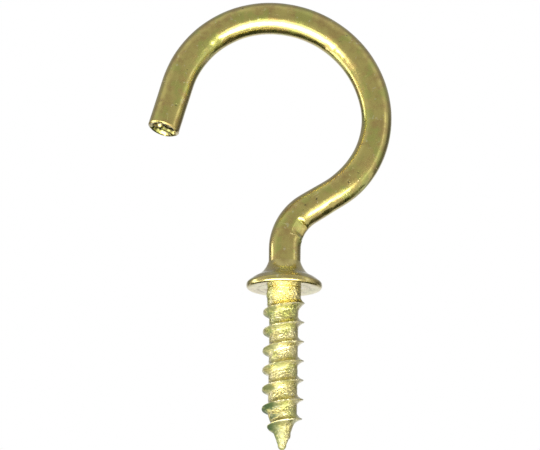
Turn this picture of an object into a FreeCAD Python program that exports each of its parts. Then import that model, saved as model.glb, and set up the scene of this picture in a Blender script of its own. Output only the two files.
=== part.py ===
import FreeCAD, Part

import math
import os

import Sketcher

# A shouldered screw-in cup hook in brass-plated steel wire.
# The origin is the centre of the shoulder's flat underside, which beds against the wood.
# +Z runs up the shank to the hook, and the screw points down to -Z. The hook lies in the XZ plane:
# its round back bulges to +X and its open mouth faces -X.

DOCUMENT_NAME = "cup_hook"
FULL_TURN = 360.0
STRAIGHT_UP = 90.0

# Every size that a maker would set by itself, in millimetres and degrees.
SIZES = {
    # the wire and the route that it is bent along, from the shoulder's underside to the open end
    "wire_diameter": 2.77,
    "shank_height": 3.53,
    "lower_bend_radius": 4.2,
    "lower_bend_angle": 57.5,
    "run_length": 2.65,
    "back_radius": 7.74,
    "back_angle": 68.5,
    "crown_radius": 9.26,
    "crown_angle": 78.9,
    "nose_radius": 8.32,
    "nose_angle": 73.9,
    "arm_length": 4.2,
    "end_shear_angle": 10.5,
    # the collar pressed on the wire
    "flange_diameter": 6.54,
    "rim_thickness": 0.62,
    "rim_top_round": 0.3,
    "rim_bottom_round": 0.1,
    "dome_rise": 0.55,
    "dome_radius": 3.2,
    "cone_foot_diameter": 4.5,
    "cone_flare_radius": 1.9,
    "collar_height": 2.35,
    "collar_lip": 0.05,
    "countersink_gap": 0.37,
    "countersink_depth": 0.15,
    # the screw
    "neck_swell": 0.075,
    "neck_length": 1.4,
    "neck_taper_length": 0.6,
    "core_diameter": 2.49,
    "thread_diameter": 3.57,
    "thread_pitch": 1.69,
    "valley_width": 0.59,
    "valley_foot_width": 0.19,
    "ridge_foot_radius": 0.3,
    "crest_width": 0.14,
    "flank_radius": 0.55,
    "screw_length": 14.1,
    "tip_taper_length": 3.0,
    "tip_diameter": 0.76,
    "tip_round": 0.3,
    "thread_tip_length": 2.3,
    "thread_tip_hollow_radius": 4.3,
    "thread_runout_start": 0.05,
    "thread_runout_length": 1.6,
    "first_crest_above_tip": 1.03,
}


def make_sheet(document):
    """The spreadsheet that drives the whole model, one named cell for each size."""
    sheet = document.addObject("Spreadsheet::Sheet", "Sizes")
    for row, (name, value) in enumerate(SIZES.items(), start=1):
        sheet.set(f"A{row}", name)
        sheet.set(f"B{row}", str(value))
        sheet.setAlias(f"B{row}", name)
    document.recompute()
    return sheet


def size(sheet, name):
    return float(sheet.get(name))


def origin_feature(body, role):
    return next(f for f in body.Origin.OriginFeatures if f.Role == role)


def new_sketch(body, name, role):
    sketch = body.newObject("Sketcher::SketchObject", name)
    sketch.AttachmentSupport = [(origin_feature(body, role), "")]
    sketch.MapMode = "FlatFace"
    return sketch


def place_point(sketch, geometry, end, across, up):
    """Ties one end of a sketch line to its two coordinates, each an expression on the sheet's cells."""
    origin_geometry, origin_end = -1, 1
    for direction, expression in (("DistanceX", across), ("DistanceY", up)):
        start = sketch.getPoint(geometry, end)
        value = start.x if direction == "DistanceX" else start.y
        if expression is None:
            axis = -2 if direction == "DistanceX" else -1
            sketch.addConstraint(Sketcher.Constraint("PointOnObject", geometry, end, axis))
            continue
        index = sketch.addConstraint(
            Sketcher.Constraint(direction, origin_geometry, origin_end, geometry, end, value)
        )
        sketch.setExpression(f"Constraints[{index}]", expression)


def evaluate(sketch, expression):
    return 0.0 if expression is None else float(sketch.evalExpression(expression))


def draw_outline(sketch, corners, curves=None):
    """A closed outline through corners, each an (across, up) pair of expressions, None meaning zero.

    curves maps a side's number to (radius expression, +1 or -1): that side is an arc whose middle
    lies to the left (+1) or the right (-1) of the straight line between its corners.
    """
    curves = curves or {}
    points = [FreeCAD.Vector(evaluate(sketch, a), evaluate(sketch, u), 0) for a, u in corners]
    first, second = 1, 2
    ends = []
    for side, start in enumerate(points):
        finish = points[(side + 1) % len(points)]
        if side not in curves:
            geometry = sketch.addGeometry(Part.LineSegment(start, finish), False)
            ends.append((geometry, first, second))
            continue
        radius_expression, bulge = curves[side]
        radius = evaluate(sketch, radius_expression)
        chord = finish - start
        rise = radius - math.sqrt(radius**2 - (chord.Length / 2) ** 2)
        left = FreeCAD.Vector(-chord.y, chord.x, 0).normalize()
        middle = (start + finish) * 0.5 + left * (rise * bulge)
        arc = Part.Arc(start, middle, finish)
        geometry = sketch.addGeometry(arc, False)
        starts_at_first = sketch.getPoint(geometry, first).isEqual(start, 1e-6)
        ends.append((geometry, first, second) if starts_at_first else (geometry, second, first))
        index = sketch.addConstraint(Sketcher.Constraint("Radius", geometry, radius))
        sketch.setExpression(f"Constraints[{index}]", radius_expression)
    for side, (geometry, start_end, _) in enumerate(ends):
        before, _, before_end = ends[side - 1]
        sketch.addConstraint(Sketcher.Constraint("Coincident", before, before_end, geometry, start_end))
        place_point(sketch, geometry, start_end, *corners[side])


def draw_route(sketch, sheet):
    """The wire's centreline: straight and round stretches, each tangent to the one before.

    It starts at the shoulder's counterbore and climbs the shank. A turn is positive to the left.
    """
    stretches = [
        ("line", "shank_height", None, 0),
        ("arc", "lower_bend_radius", "lower_bend_angle", -1),
        ("line", "run_length", None, 0),
        ("arc", "back_radius", "back_angle", 1),
        ("arc", "crown_radius", "crown_angle", 1),
        ("arc", "nose_radius", "nose_angle", 1),
        ("line", "arm_length", None, 0),
    ]
    here = FreeCAD.Vector(0, 0, 0)
    heading = math.radians(STRAIGHT_UP)
    previous = None
    for kind, measure, angle, turn in stretches:
        reach = size(sheet, measure)
        along = FreeCAD.Vector(math.cos(heading), math.sin(heading), 0)
        if kind == "line":
            there = here + along * reach
            geometry = sketch.addGeometry(Part.LineSegment(here, there), False)
            start_end, finish_end = 1, 2
            index = sketch.addConstraint(Sketcher.Constraint("Distance", geometry, reach))
        else:
            swept = math.radians(size(sheet, angle))
            left = FreeCAD.Vector(-along.y, along.x, 0)
            centre = here + left * (reach * turn)
            from_angle = math.atan2(here.y - centre.y, here.x - centre.x)
            to_angle = from_angle + swept * turn
            there = centre + FreeCAD.Vector(math.cos(to_angle), math.sin(to_angle), 0) * reach
            low, high = (from_angle, to_angle) if turn > 0 else (to_angle, from_angle)
            circle = Part.Circle(centre, FreeCAD.Vector(0, 0, 1), reach)
            geometry = sketch.addGeometry(Part.ArcOfCircle(circle, low, high), False)
            start_end, finish_end = (1, 2) if turn > 0 else (2, 1)
            index = sketch.addConstraint(Sketcher.Constraint("Radius", geometry, reach))
            sweep_index = sketch.addConstraint(Sketcher.Constraint("Angle", geometry, swept))
            sketch.setExpression(f"Constraints[{sweep_index}]", f"Sizes.{angle} * 1deg")
            heading += swept * turn
        sketch.setExpression(f"Constraints[{index}]", f"Sizes.{measure}")
        if previous is None:
            sketch.addConstraint(Sketcher.Constraint("Coincident", geometry, start_end, -1, 1))
            sketch.addConstraint(Sketcher.Constraint("Vertical", geometry))
        else:
            sketch.addConstraint(Sketcher.Constraint("Tangent", *previous, geometry, start_end))
        previous = (geometry, finish_end)
        here = there
    return here, heading


def revolve(body, name, feature_type, corners, curves=None):
    """Turns an outline in the XZ plane about the Z axis, adding material or grooving it away."""
    sketch = new_sketch(body, f"{name}_outline", "XZ_Plane")
    draw_outline(sketch, corners, curves)
    feature = body.newObject(feature_type, name)
    feature.Profile = sketch
    feature.ReferenceAxis = (sketch, ["V_Axis"])
    feature.Angle = FULL_TURN
    return feature


def rim_edges(shape, height, diameter):
    """The names of the full circular edges of that diameter at that height."""
    names = []
    for number, edge in enumerate(shape.Edges, start=1):
        round_edge = isinstance(edge.Curve, Part.Circle)
        if not round_edge:
            continue
        same_size = abs(edge.Curve.Radius - diameter / 2) < 1e-4
        if same_size and abs(edge.Curve.Center.z - height) < 1e-4:
            names.append(f"Edge{number}")
    return names


def round_rim(document, body, base, name, size_name, height, diameter):
    document.recompute()
    fillet = body.newObject("PartDesign::Fillet", name)
    fillet.Base = (base, rim_edges(base.Shape, height, diameter))
    fillet.setExpression("Radius", f"Sizes.{size_name}")
    return fillet


def make_shoulder_collar(document, sheet):
    """The pressed collar: a cone squeezed on the wire, flaring into a domed flange with a flat underside."""
    body = document.addObject("PartDesign::Body", "shoulder_collar")
    bore = "Sizes.wire_diameter / 2"
    neck = "(Sizes.wire_diameter / 2 + Sizes.neck_swell)"
    mouth = f"{neck} + Sizes.countersink_gap"
    rim = "Sizes.flange_diameter / 2"
    foot = "Sizes.cone_foot_diameter / 2"
    corners = [
        (mouth, None),
        (rim, None),
        (rim, "Sizes.rim_thickness"),
        (foot, "Sizes.rim_thickness + Sizes.dome_rise"),
        (f"{bore} + Sizes.collar_lip", "Sizes.collar_height"),
        (bore, "Sizes.collar_height"),
        (bore, "Sizes.countersink_depth"),
        (neck, "Sizes.countersink_depth"),
    ]
    sides = {2: ("Sizes.dome_radius", -1), 3: ("Sizes.cone_flare_radius", 1)}
    flange = revolve(body, "flange", "PartDesign::Revolution", corners, sides)
    diameter = size(sheet, "flange_diameter")
    top = round_rim(
        document, body, flange, "rim_top", "rim_top_round", size(sheet, "rim_thickness"), diameter
    )
    round_rim(document, body, top, "rim_bottom", "rim_bottom_round", 0.0, diameter)
    return body


def shear_end(body, sheet, end, heading):
    """Cuts the open end off at a slant, because the wire is sheared from one side and not sawn square."""
    cutter = body.newObject("PartDesign::SubtractiveBox", "end_shear")
    cutter.AttachmentSupport = [(origin_feature(body, "XY_Plane"), "")]
    cutter.MapMode = "FlatFace"
    for side in ("Length", "Width", "Height"):
        cutter.setExpression(side, "2 * Sizes.wire_diameter")
    wide = 2 * size(sheet, "wire_diameter")
    along = FreeCAD.Rotation(FreeCAD.Vector(0, 1, 0), STRAIGHT_UP - math.degrees(heading))
    slant = FreeCAD.Rotation(FreeCAD.Vector(1, 0, 0), size(sheet, "end_shear_angle"))
    turn = along.multiply(slant)
    corner = FreeCAD.Vector(end.x, 0, end.y) + turn.multVec(FreeCAD.Vector(-wide / 2, -wide / 2, 0))
    cutter.AttachmentOffset = FreeCAD.Placement(corner, turn)
    return cutter


def add_thread(body, sheet):
    """The rolled thread: one ridge with hollow flanks, wound right-handed from below the tip to the neck."""
    core = "Sizes.core_diameter / 2"
    root = f"{core} - Sizes.crest_width / 2"
    crest = "Sizes.thread_diameter / 2"
    start = "-Sizes.screw_length + Sizes.first_crest_above_tip - Sizes.thread_pitch"
    half_foot = "(Sizes.thread_pitch - Sizes.valley_foot_width) / 2"
    half_root = "(Sizes.thread_pitch - Sizes.valley_width) / 2"
    half_crest = "Sizes.crest_width / 2"
    sketch = new_sketch(body, "ridge_outline", "XZ_Plane")
    corners = [
        ("Sizes.ridge_foot_radius", f"{start} - {half_foot}"),
        (root, f"{start} - {half_root}"),
        (crest, f"{start} - {half_crest}"),
        (crest, f"{start} + {half_crest}"),
        (root, f"{start} + {half_root}"),
        ("Sizes.ridge_foot_radius", f"{start} + {half_foot}"),
    ]
    hollow_flank = ("Sizes.flank_radius", 1)
    draw_outline(sketch, corners, {1: hollow_flank, 3: hollow_flank})
    ridge = body.newObject("PartDesign::AdditiveHelix", "thread_ridge")
    ridge.Profile = sketch
    ridge.ReferenceAxis = (sketch, ["V_Axis"])
    ridge.Mode = "pitch-height-angle"
    ridge.HasBeenEdited = True
    ridge.LeftHanded = False
    ridge.setExpression("Pitch", "Sizes.thread_pitch")
    ridge.setExpression(
        "Height",
        "Sizes.screw_length - Sizes.first_crest_above_tip + Sizes.thread_pitch"
        f" - Sizes.thread_runout_start - {half_root}",
    )
    return ridge


def make_hook_wire(document, sheet):
    """The bent wire: hook, shank, swelled neck and the screw rolled into its lower end."""
    body = document.addObject("PartDesign::Body", "hook_wire")
    section = new_sketch(body, "wire_section", "XY_Plane")
    circle = Part.Circle(FreeCAD.Vector(0, 0, 0), FreeCAD.Vector(0, 0, 1), size(sheet, "wire_diameter") / 2)
    section.addGeometry(circle, False)
    section.addConstraint(Sketcher.Constraint("Coincident", 0, 3, -1, 1))
    index = section.addConstraint(Sketcher.Constraint("Diameter", 0, size(sheet, "wire_diameter")))
    section.setExpression(f"Constraints[{index}]", "Sizes.wire_diameter")
    route = new_sketch(body, "wire_route", "XZ_Plane")
    end, heading = draw_route(route, sheet)
    pipe = body.newObject("PartDesign::AdditivePipe", "bent_wire")
    pipe.Profile = section
    pipe.Spine = (route, [])
    shear_end(body, sheet, end, heading)

    core = "Sizes.core_diameter / 2"
    neck = "(Sizes.wire_diameter / 2 + Sizes.neck_swell)"
    tip = "Sizes.tip_diameter / 2"
    corners = [
        (None, "Sizes.countersink_depth"),
        (None, "-Sizes.screw_length"),
        (f"{tip} - Sizes.tip_round", "-Sizes.screw_length"),
        (tip, "-Sizes.screw_length + Sizes.tip_round"),
        (core, "-Sizes.screw_length + Sizes.tip_taper_length"),
        (core, "-Sizes.neck_length - Sizes.neck_taper_length"),
        (neck, "-Sizes.neck_length"),
        (neck, "Sizes.countersink_depth"),
    ]
    revolve(body, "screw_core", "PartDesign::Revolution", corners, {2: ("Sizes.tip_round", -1)})
    ridge = add_thread(body, sheet)
    document.recompute()
    full_volume = ridge.Shape.Volume

    clear = "Sizes.thread_diameter"
    crest = "Sizes.thread_diameter / 2"
    beyond = "-Sizes.screw_length - 2 * Sizes.thread_pitch"
    tip_corners = [
        (None, "-Sizes.screw_length"),
        (None, beyond),
        (clear, beyond),
        (clear, "-Sizes.screw_length + Sizes.thread_tip_length"),
        (crest, "-Sizes.screw_length + Sizes.thread_tip_length"),
        (tip, "-Sizes.screw_length + Sizes.tip_round"),
        (tip, "-Sizes.screw_length"),
    ]
    hollow = {4: ("Sizes.thread_tip_hollow_radius", -1)}
    revolve(body, "tip_point", "PartDesign::Groove", tip_corners, hollow)
    runout_end = "-Sizes.thread_runout_start - Sizes.thread_runout_length"
    runout_corners = [
        (neck, None),
        (crest, runout_end),
        (clear, runout_end),
        (clear, None),
    ]
    runout = revolve(body, "thread_runout", "PartDesign::Groove", runout_corners)
    document.recompute()
    if runout.Shape.Volume >= full_volume:
        raise RuntimeError("the thread's ends were not cut back")
    return body


def check_and_export(document, bodies):
    document.recompute()
    for item in document.Objects:
        if "Invalid" in item.State or "Error" in item.State:
            raise RuntimeError(f"{item.Name} failed: {item.State}")
    os.makedirs("parts", exist_ok=True)
    for body in bodies:
        if body.Shape.isNull() or not body.Shape.isValid():
            raise RuntimeError(f"{body.Label} has no valid shape")
        body.Shape.exportStep(f"parts/{body.Label}.step")
        box = body.Shape.optimalBoundingBox()
        print(f"{body.Label}: {len(body.Shape.Solids)} solid, {body.Shape.Volume:.2f} mm3")
        print(f"  x {box.XMin:.2f}..{box.XMax:.2f}, y {box.YMin:.2f}..{box.YMax:.2f}, "
              f"z {box.ZMin:.2f}..{box.ZMax:.2f}")


def main():
    document = FreeCAD.newDocument(DOCUMENT_NAME)
    sheet = make_sheet(document)
    bodies = [make_hook_wire(document, sheet), make_shoulder_collar(document, sheet)]
    check_and_export(document, bodies)


main()
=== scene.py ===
import math

import bmesh
import bpy
from mathutils import Matrix, Vector, noise


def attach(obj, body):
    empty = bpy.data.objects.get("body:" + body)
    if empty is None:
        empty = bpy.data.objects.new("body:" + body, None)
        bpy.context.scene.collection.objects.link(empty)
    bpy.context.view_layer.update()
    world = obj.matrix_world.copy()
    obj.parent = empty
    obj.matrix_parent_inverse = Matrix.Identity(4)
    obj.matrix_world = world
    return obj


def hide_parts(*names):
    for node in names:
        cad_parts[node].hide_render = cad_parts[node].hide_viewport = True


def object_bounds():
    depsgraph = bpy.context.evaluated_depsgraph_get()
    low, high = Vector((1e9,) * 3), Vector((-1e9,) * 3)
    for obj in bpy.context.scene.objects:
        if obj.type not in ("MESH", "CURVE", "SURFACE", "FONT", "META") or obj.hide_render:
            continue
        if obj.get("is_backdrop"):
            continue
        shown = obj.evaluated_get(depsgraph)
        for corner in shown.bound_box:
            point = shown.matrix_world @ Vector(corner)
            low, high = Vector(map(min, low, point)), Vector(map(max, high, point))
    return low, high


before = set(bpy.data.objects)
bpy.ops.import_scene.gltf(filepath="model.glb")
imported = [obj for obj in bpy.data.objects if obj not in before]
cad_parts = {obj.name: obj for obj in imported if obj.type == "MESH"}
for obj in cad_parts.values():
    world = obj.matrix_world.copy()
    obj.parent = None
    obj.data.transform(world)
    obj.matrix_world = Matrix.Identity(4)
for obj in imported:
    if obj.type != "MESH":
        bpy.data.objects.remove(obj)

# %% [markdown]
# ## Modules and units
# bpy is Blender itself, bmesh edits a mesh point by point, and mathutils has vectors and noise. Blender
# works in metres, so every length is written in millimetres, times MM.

MM = 0.001
cad_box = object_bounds()
print("nodes:", sorted(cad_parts), "box in mm:", [round(v / MM, 2) for v in cad_box[1] - cad_box[0]])

# %% [markdown]
# # A brass-plated cup hook
# The real thing is one steel wire, bent to a round hook, with a pressed collar round it and a screw
# thread rolled into its lower end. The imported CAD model, the frame, already has every size right. This
# lesson keeps those sizes and gives the two pieces what a drawing leaves out: a wire that thins where it
# was bent, tool marks, a sheared end, a rolled thread with its grain, and an old, slightly mottled brass
# plating. Everything is in metres in the frame's own axes: +Z up the shank, and the hook lies in the XZ
# plane.

# %% [markdown]
# ## The camera
# The camera comes first, so that every later step can be looked at from the angle that matters. The hook
# is seen nearly square to its plane and from a little below, so that the flat underside of the collar
# shows. A long lens keeps the perspective weak, as in close product views. We build the camera's axes by
# hand: right, up and back make a rotation matrix, and a small roll leans the shank by under a degree.

# %% Camera
LOOK_UP = math.radians(13.3)
ROLL = math.radians(0.85)
CAMERA_DISTANCE = 600 * MM
VIEW_WIDTH = 46.44 * MM
SENSOR_WIDTH = 36.0
AIM = Vector((-1.3, 0, 5.63)) * MM

view_direction = Vector((0, math.cos(LOOK_UP), math.sin(LOOK_UP)))
level_right = Vector((1, 0, 0))
level_up = level_right.cross(view_direction)
right = level_right * math.cos(ROLL) + level_up * math.sin(ROLL)
up = level_up * math.cos(ROLL) - level_right * math.sin(ROLL)

camera_data = bpy.data.cameras.new("camera")
camera_data.sensor_width = SENSOR_WIDTH
camera_data.lens = SENSOR_WIDTH * CAMERA_DISTANCE / VIEW_WIDTH
camera_data.clip_start = 10 * MM
camera = bpy.data.objects.new("camera", camera_data)
bpy.context.collection.objects.link(camera)
axes = Matrix((right, up, -view_direction)).transposed().to_4x4()
camera.matrix_world = Matrix.Translation(AIM - view_direction * CAMERA_DISTANCE) @ axes
bpy.context.scene.camera = camera
print("lens:", round(camera_data.lens), "mm, camera at", [round(v / MM) for v in camera.location])

# %% [markdown]
# ## Helpers for edit mode
# Operators act on whatever is selected, and the imported frame starts out selected. So the first helper
# clears the selection, and the others pick edges or faces by their place, as a hand with a mouse would.

# %% Edit-mode helpers
def deselect_all():
    if bpy.context.object and bpy.context.object.mode != "OBJECT":
        bpy.ops.object.mode_set(mode="OBJECT")
    bpy.ops.object.select_all(action="DESELECT")


def activate(obj):
    deselect_all()
    bpy.context.view_layer.objects.active = obj
    obj.select_set(True)


def edit(obj):
    activate(obj)
    bpy.ops.object.mode_set(mode="EDIT")


def select_everything():
    bpy.ops.mesh.select_all(action="SELECT")


def leave_edit():
    bpy.ops.object.mode_set(mode="OBJECT")
    return bpy.context.object


def select_points(obj, wanted):
    """In edit mode, selects the points for which wanted(point) is true."""
    edit(obj)
    mesh = bmesh.from_edit_mesh(obj.data)
    bpy.ops.mesh.select_mode(type="VERT")
    bpy.ops.mesh.select_all(action="DESELECT")
    for vert in mesh.verts:
        vert.select = wanted(vert)
    mesh.select_flush(True)
    bmesh.update_edit_mesh(obj.data)


def apply_modifier(obj, modifier):
    activate(obj)
    bpy.ops.object.modifier_apply(modifier=modifier.name)


def tidy_shell(obj, merge_distance=0.002 * MM):
    """Merges doubled points and turns every face outwards."""
    edit(obj)
    select_everything()
    bpy.ops.mesh.remove_doubles(threshold=merge_distance)
    bpy.ops.mesh.normals_make_consistent(inside=False)
    leave_edit()


def smoothstep(low, high, value):
    """0 at low, 1 at high, eased between; low may be the larger."""
    t = min(max((value - low) / (high - low), 0.0), 1.0)
    return t * t * (3 - 2 * t)

# %% [markdown]
# ## The wire's route
# The hook is a run of straight and round stretches, each tangent to the one before, just as a bending
# tool makes it. We keep the route as a short list of named bends. From that list we can both drive the
# modelling (extrude along a straight, spin round a bend) and, later, ask for any point how far along the
# wire it lies and on which side, which is what tool marks and the plating's grain need.

# %% Route
WIRE_RADIUS = 1.385 * MM
ROUTE = [
    # kind, length or radius (mm), angle (degrees), turn: +1 left, -1 right
    ("straight", 3.53, 0.0, 0),     # shank
    ("bend", 4.2, 57.5, -1),        # lower bend, out to the right
    ("straight", 2.65, 0.0, 0),     # short run between the bends
    ("bend", 7.74, 68.5, 1),        # the hook's back
    ("bend", 9.26, 78.9, 1),        # its crown
    ("bend", 8.32, 73.9, 1),        # its nose
    ("straight", 4.2, 0.0, 0),      # the arm, down to the open end
]


def directions(heading):
    """Along the wire and to its left."""
    along = Vector((math.cos(heading), 0, math.sin(heading)))
    return along, Vector((-math.sin(heading), 0, math.cos(heading)))


class Stretch:
    """One straight or bend of the wire's centreline, in the XZ plane."""

    def __init__(self, kind, measure, angle, turn, start, heading, begins):
        self.turn, self.start, self.heading, self.begins = turn, start, heading, begins
        self.along, self.left = directions(heading)
        self.radius = measure * MM if kind == "bend" else 0.0
        self.angle = math.radians(angle)
        self.length = self.radius * self.angle if kind == "bend" else measure * MM
        self.centre = start + self.left * (self.radius * turn)

    def point(self, distance):
        """Centreline point, direction and left-hand direction, a distance into the stretch."""
        if not self.turn:
            return self.start + self.along * distance, self.along, self.left
        along, left = directions(self.heading + self.turn * distance / self.radius)
        return self.centre - left * (self.radius * self.turn), along, left

    def locate(self, place):
        """How far along the stretch a place lies, and how far to its left."""
        if not self.turn:
            offset = place - self.start
            return offset.dot(self.along), offset.dot(self.left)
        spoke = Vector((place.x - self.centre.x, 0, place.z - self.centre.z))
        first = -self.left * self.turn
        swept = math.atan2(spoke.dot(self.along), spoke.dot(first))
        return swept * self.radius, self.turn * (self.radius - spoke.length)


def lay_route():
    stretches, here, heading, done = [], Vector((0, 0, 0)), math.pi / 2, 0.0
    for kind, measure, angle, turn in ROUTE:
        stretch = Stretch(kind, measure, angle, turn, here, heading, done)
        stretches.append(stretch)
        here = stretch.point(stretch.length)[0]
        heading += turn * stretch.angle
        done += stretch.length
    return stretches, done


route, wire_length = lay_route()
NEAR = 1.35 * WIRE_RADIUS


def locate(place):
    """(distance along the wire, distance to its left) of a place on or near the wire."""
    best = None
    for stretch in route:
        along, left = stretch.locate(place)
        outside = max(-along, along - stretch.length, 0.0)
        miss = outside + max(abs(left) - NEAR, 0.0)
        if best is None or miss < best[0] - 1e-9:
            best = (miss, stretch.begins + along, left)
    return best[1], best[2]


def route_point(distance):
    for stretch in route:
        if distance <= stretch.begins + stretch.length or stretch is route[-1]:
            return stretch.point(distance - stretch.begins)


print("wire above the collar:", round(wire_length / MM, 1), "mm; open end at",
      [round(v / MM, 2) for v in route_point(wire_length)[0]])

# %% [markdown]
# ## Bending the wire
# We start from a plain circle, the wire's section, and do to it what the factory does: push it straight,
# then wind it round a centre. In edit mode that is extrude for a straight and spin for a bend. Spin
# copies the last ring round an axis, so every ring stays square to the wire and evenly spaced. Small
# steps leave enough rings to carry dents later.

# %% Bend the wire
WIRE_SIDES = 96
RING_STEP = 0.10 * MM
TUBE_START = 0.16 * MM


def bend_wire():
    deselect_all()
    bpy.ops.mesh.primitive_circle_add(vertices=WIRE_SIDES, radius=WIRE_RADIUS, location=(0, 0, 0))
    wire = bpy.context.object
    wire.name = "hook_wire_finished"
    edit(wire)
    select_everything()
    bpy.ops.transform.translate(value=(0, 0, TUBE_START))
    for stretch in route:
        skipped = TUBE_START if stretch is route[0] else 0.0
        steps = round((stretch.length - skipped) / RING_STEP)
        if not stretch.turn:
            step = stretch.along * ((stretch.length - skipped) / steps)
            for _ in range(steps):
                bpy.ops.mesh.extrude_region_move(TRANSFORM_OT_translate={"value": step})
            continue
        bpy.ops.mesh.spin(
            steps=steps, angle=stretch.angle, center=stretch.centre, axis=(0, stretch.turn, 0)
        )
    leave_edit()
    return wire


wire = bend_wire()
print("wire:", len(wire.data.vertices), "points")

# %% [markdown]
# ## The sheared end
# The factory cuts the wire off with a blade from one side. That leaves a face at a slant, a rolled-over
# rim, a rough torn middle and a small burr. We close the end with a face and inset it again and again:
# each inset is a ring of small quads, so that the next step has points to push about.

# %% Close the open end
END_RINGS = 14
RIM_RING = 0.05 * MM


def close_end(obj, near):
    reach = WIRE_RADIUS + 0.01 * MM
    select_points(obj, lambda vert: (vert.co - near).length < reach and vert.is_boundary)
    bpy.ops.mesh.edge_face_add()
    bpy.ops.mesh.select_mode(type="FACE")
    bpy.ops.mesh.inset(thickness=RIM_RING)
    for _ in range(END_RINGS):
        bpy.ops.mesh.inset(thickness=(WIRE_RADIUS - RIM_RING) / (END_RINGS + 1))
    bpy.ops.mesh.poke()
    leave_edit()


open_end = route_point(wire_length)[0]
close_end(wire, open_end)
print("end closed:", len(wire.data.polygons), "faces")

# %% [markdown]
# ## What bending and handling did to the wire
# A bent wire isn't a perfect tube. Round the back it is drawn a little thinner. Inside the tight lower
# bend the metal was pinched to a flat facet with a crease under it. The forming pins left shallow dents
# and, where they shook, fine ripples called chatter. The shear left its slant, its torn face and its
# burr. These are small moves of points, from hundredths to a quarter of a millimetre, so a rule in code
# does them better than a hand. Each point is first looked up on the route, moved in the wire's own
# directions (along, left, towards the viewer), and put back.

# %% Thin, dent and shear the wire
SHEAR_SLANT = math.radians(10.5)
SHEAR_FADE = 1.6 * MM
THIN_SPOTS = [
    # where along the wire, how far it spreads, share of the width lost in the plane of the hook (mm, mm, -)
    (17.5, 3.6, 0.055),
    (10.2, 1.2, 0.03),
]
DENTS = [
    # along (mm), round from the front (degrees), half length (mm), half width (mm), depth (mm)
    (37.6, 48.0, 0.42, 0.55, 0.045),
    (36.7, 62.0, 0.35, 0.40, 0.035),
    (38.6, 40.0, 0.30, 0.40, 0.030),
    (26.6, 52.0, 0.30, 0.45, 0.035),
    (25.9, 42.0, 0.25, 0.35, 0.030),
    (25.2, 55.0, 0.30, 0.30, 0.025),
    (24.5, 46.0, 0.28, 0.30, 0.022),
    (9.6, -48.0, 0.18, 0.30, 0.030),
    (8.9, -66.0, 0.30, 0.35, 0.030),
    (13.2, -58.0, 0.50, 0.40, 0.030),
    (12.3, -70.0, 0.40, 0.35, 0.025),
]
PINCH_ALONG = 5.70 * MM
PINCH_ROUND = math.radians(-42.0)
PINCH_HALF = 0.62 * MM
PINCH_DEPTH = 0.21 * MM
CREASES = [
    # the same, with a height instead of a depth
    (4.70, -52.0, 0.10, 0.50, 0.075),
    (4.35, -72.0, 0.16, 0.22, 0.085),
]
RIM_DROP = 0.12 * MM
TEAR_DEPTH = 0.24 * MM
BURR_HEIGHT = 0.12 * MM
CHATTER = [
    # tool chatter: from and to along the wire (mm), round (degrees), half width (mm)
    (21.5, 27.5, 38.0, 0.42),
    (33.5, 38.5, 30.0, 0.35),
    (8.0, 11.5, -40.0, 0.40),
]
CHATTER_PITCH = 0.21 * MM
CHATTER_DEPTH = 0.017 * MM
CHATTER_FADE = 0.8
BURR_ROUND = math.radians(62.0)
TEAR_SLANT, TEAR_WAVES, TEAR_WANDER = 0.55, 7.0, 1.6
TEAR_PATCH, TEAR_GRAIN = 0.7 * MM, 0.34 * MM
SKIN_WANDER, WANDER_SIZE = 0.006 * MM, 1.6 * MM


def bump_at(value, centre, spread):
    return math.exp(-(((value - centre) / spread) ** 2))


def torn_face(left, front, share):
    """How far a point of the sheared face stands out (+) or is torn in (-) along the wire."""
    slant_line = (left * TEAR_SLANT + front) / WIRE_RADIUS
    wander = TEAR_WANDER * noise.noise(Vector((left, front, 0)) / TEAR_PATCH)
    gouges = math.sin(slant_line * TEAR_WAVES + wander)
    rough = noise.noise(Vector((left, front, 0.3 * MM)) / TEAR_GRAIN)
    middle = 1.0 - smoothstep(0.62, 0.86, share)
    rim = -RIM_DROP * smoothstep(0.86, 1.0, share) ** 2
    return rim - middle * TEAR_DEPTH * (0.75 + 0.55 * gouges + 0.45 * rough)


def pinched_flat(along, side):
    """Depth of a flat facet pressed into the round: what a straight cut takes off a circle."""
    apart = min(abs(side - PINCH_ROUND), 1.2)
    cut = max(WIRE_RADIUS - (WIRE_RADIUS - PINCH_DEPTH) / math.cos(apart), 0.0)
    beside = abs(along - PINCH_ALONG) / PINCH_HALF
    return cut * (1.0 - smoothstep(0.70, 1.45, beside))


def oval_mark(along, side, mark):
    """Size of one oval dent or crease, felt at a place on the skin."""
    spot, round_angle, half_length, half_width, height = mark
    apart = (side - math.radians(round_angle)) * WIRE_RADIUS
    return height * MM * bump_at(along, spot * MM, half_length * MM) * bump_at(apart, 0, half_width * MM)


def chatter_depth(place, along, side):
    """Fine ripples across the wire where the bending tool shook."""
    depth = 0.0
    for first, last, round_angle, half_width in CHATTER:
        inside = smoothstep(first * MM, (first + CHATTER_FADE) * MM, along)
        inside *= smoothstep(last * MM, (last - CHATTER_FADE) * MM, along)
        if inside <= 0.0:
            continue
        apart = (side - math.radians(round_angle)) * WIRE_RADIUS
        patch = max(noise.noise(place / (0.55 * MM)) + 0.35, 0.0)
        ripple = 0.5 + 0.5 * math.sin(2 * math.pi * along / CHATTER_PITCH)
        depth += CHATTER_DEPTH * inside * patch * ripple * bump_at(apart, 0, half_width * MM)
    return depth


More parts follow.
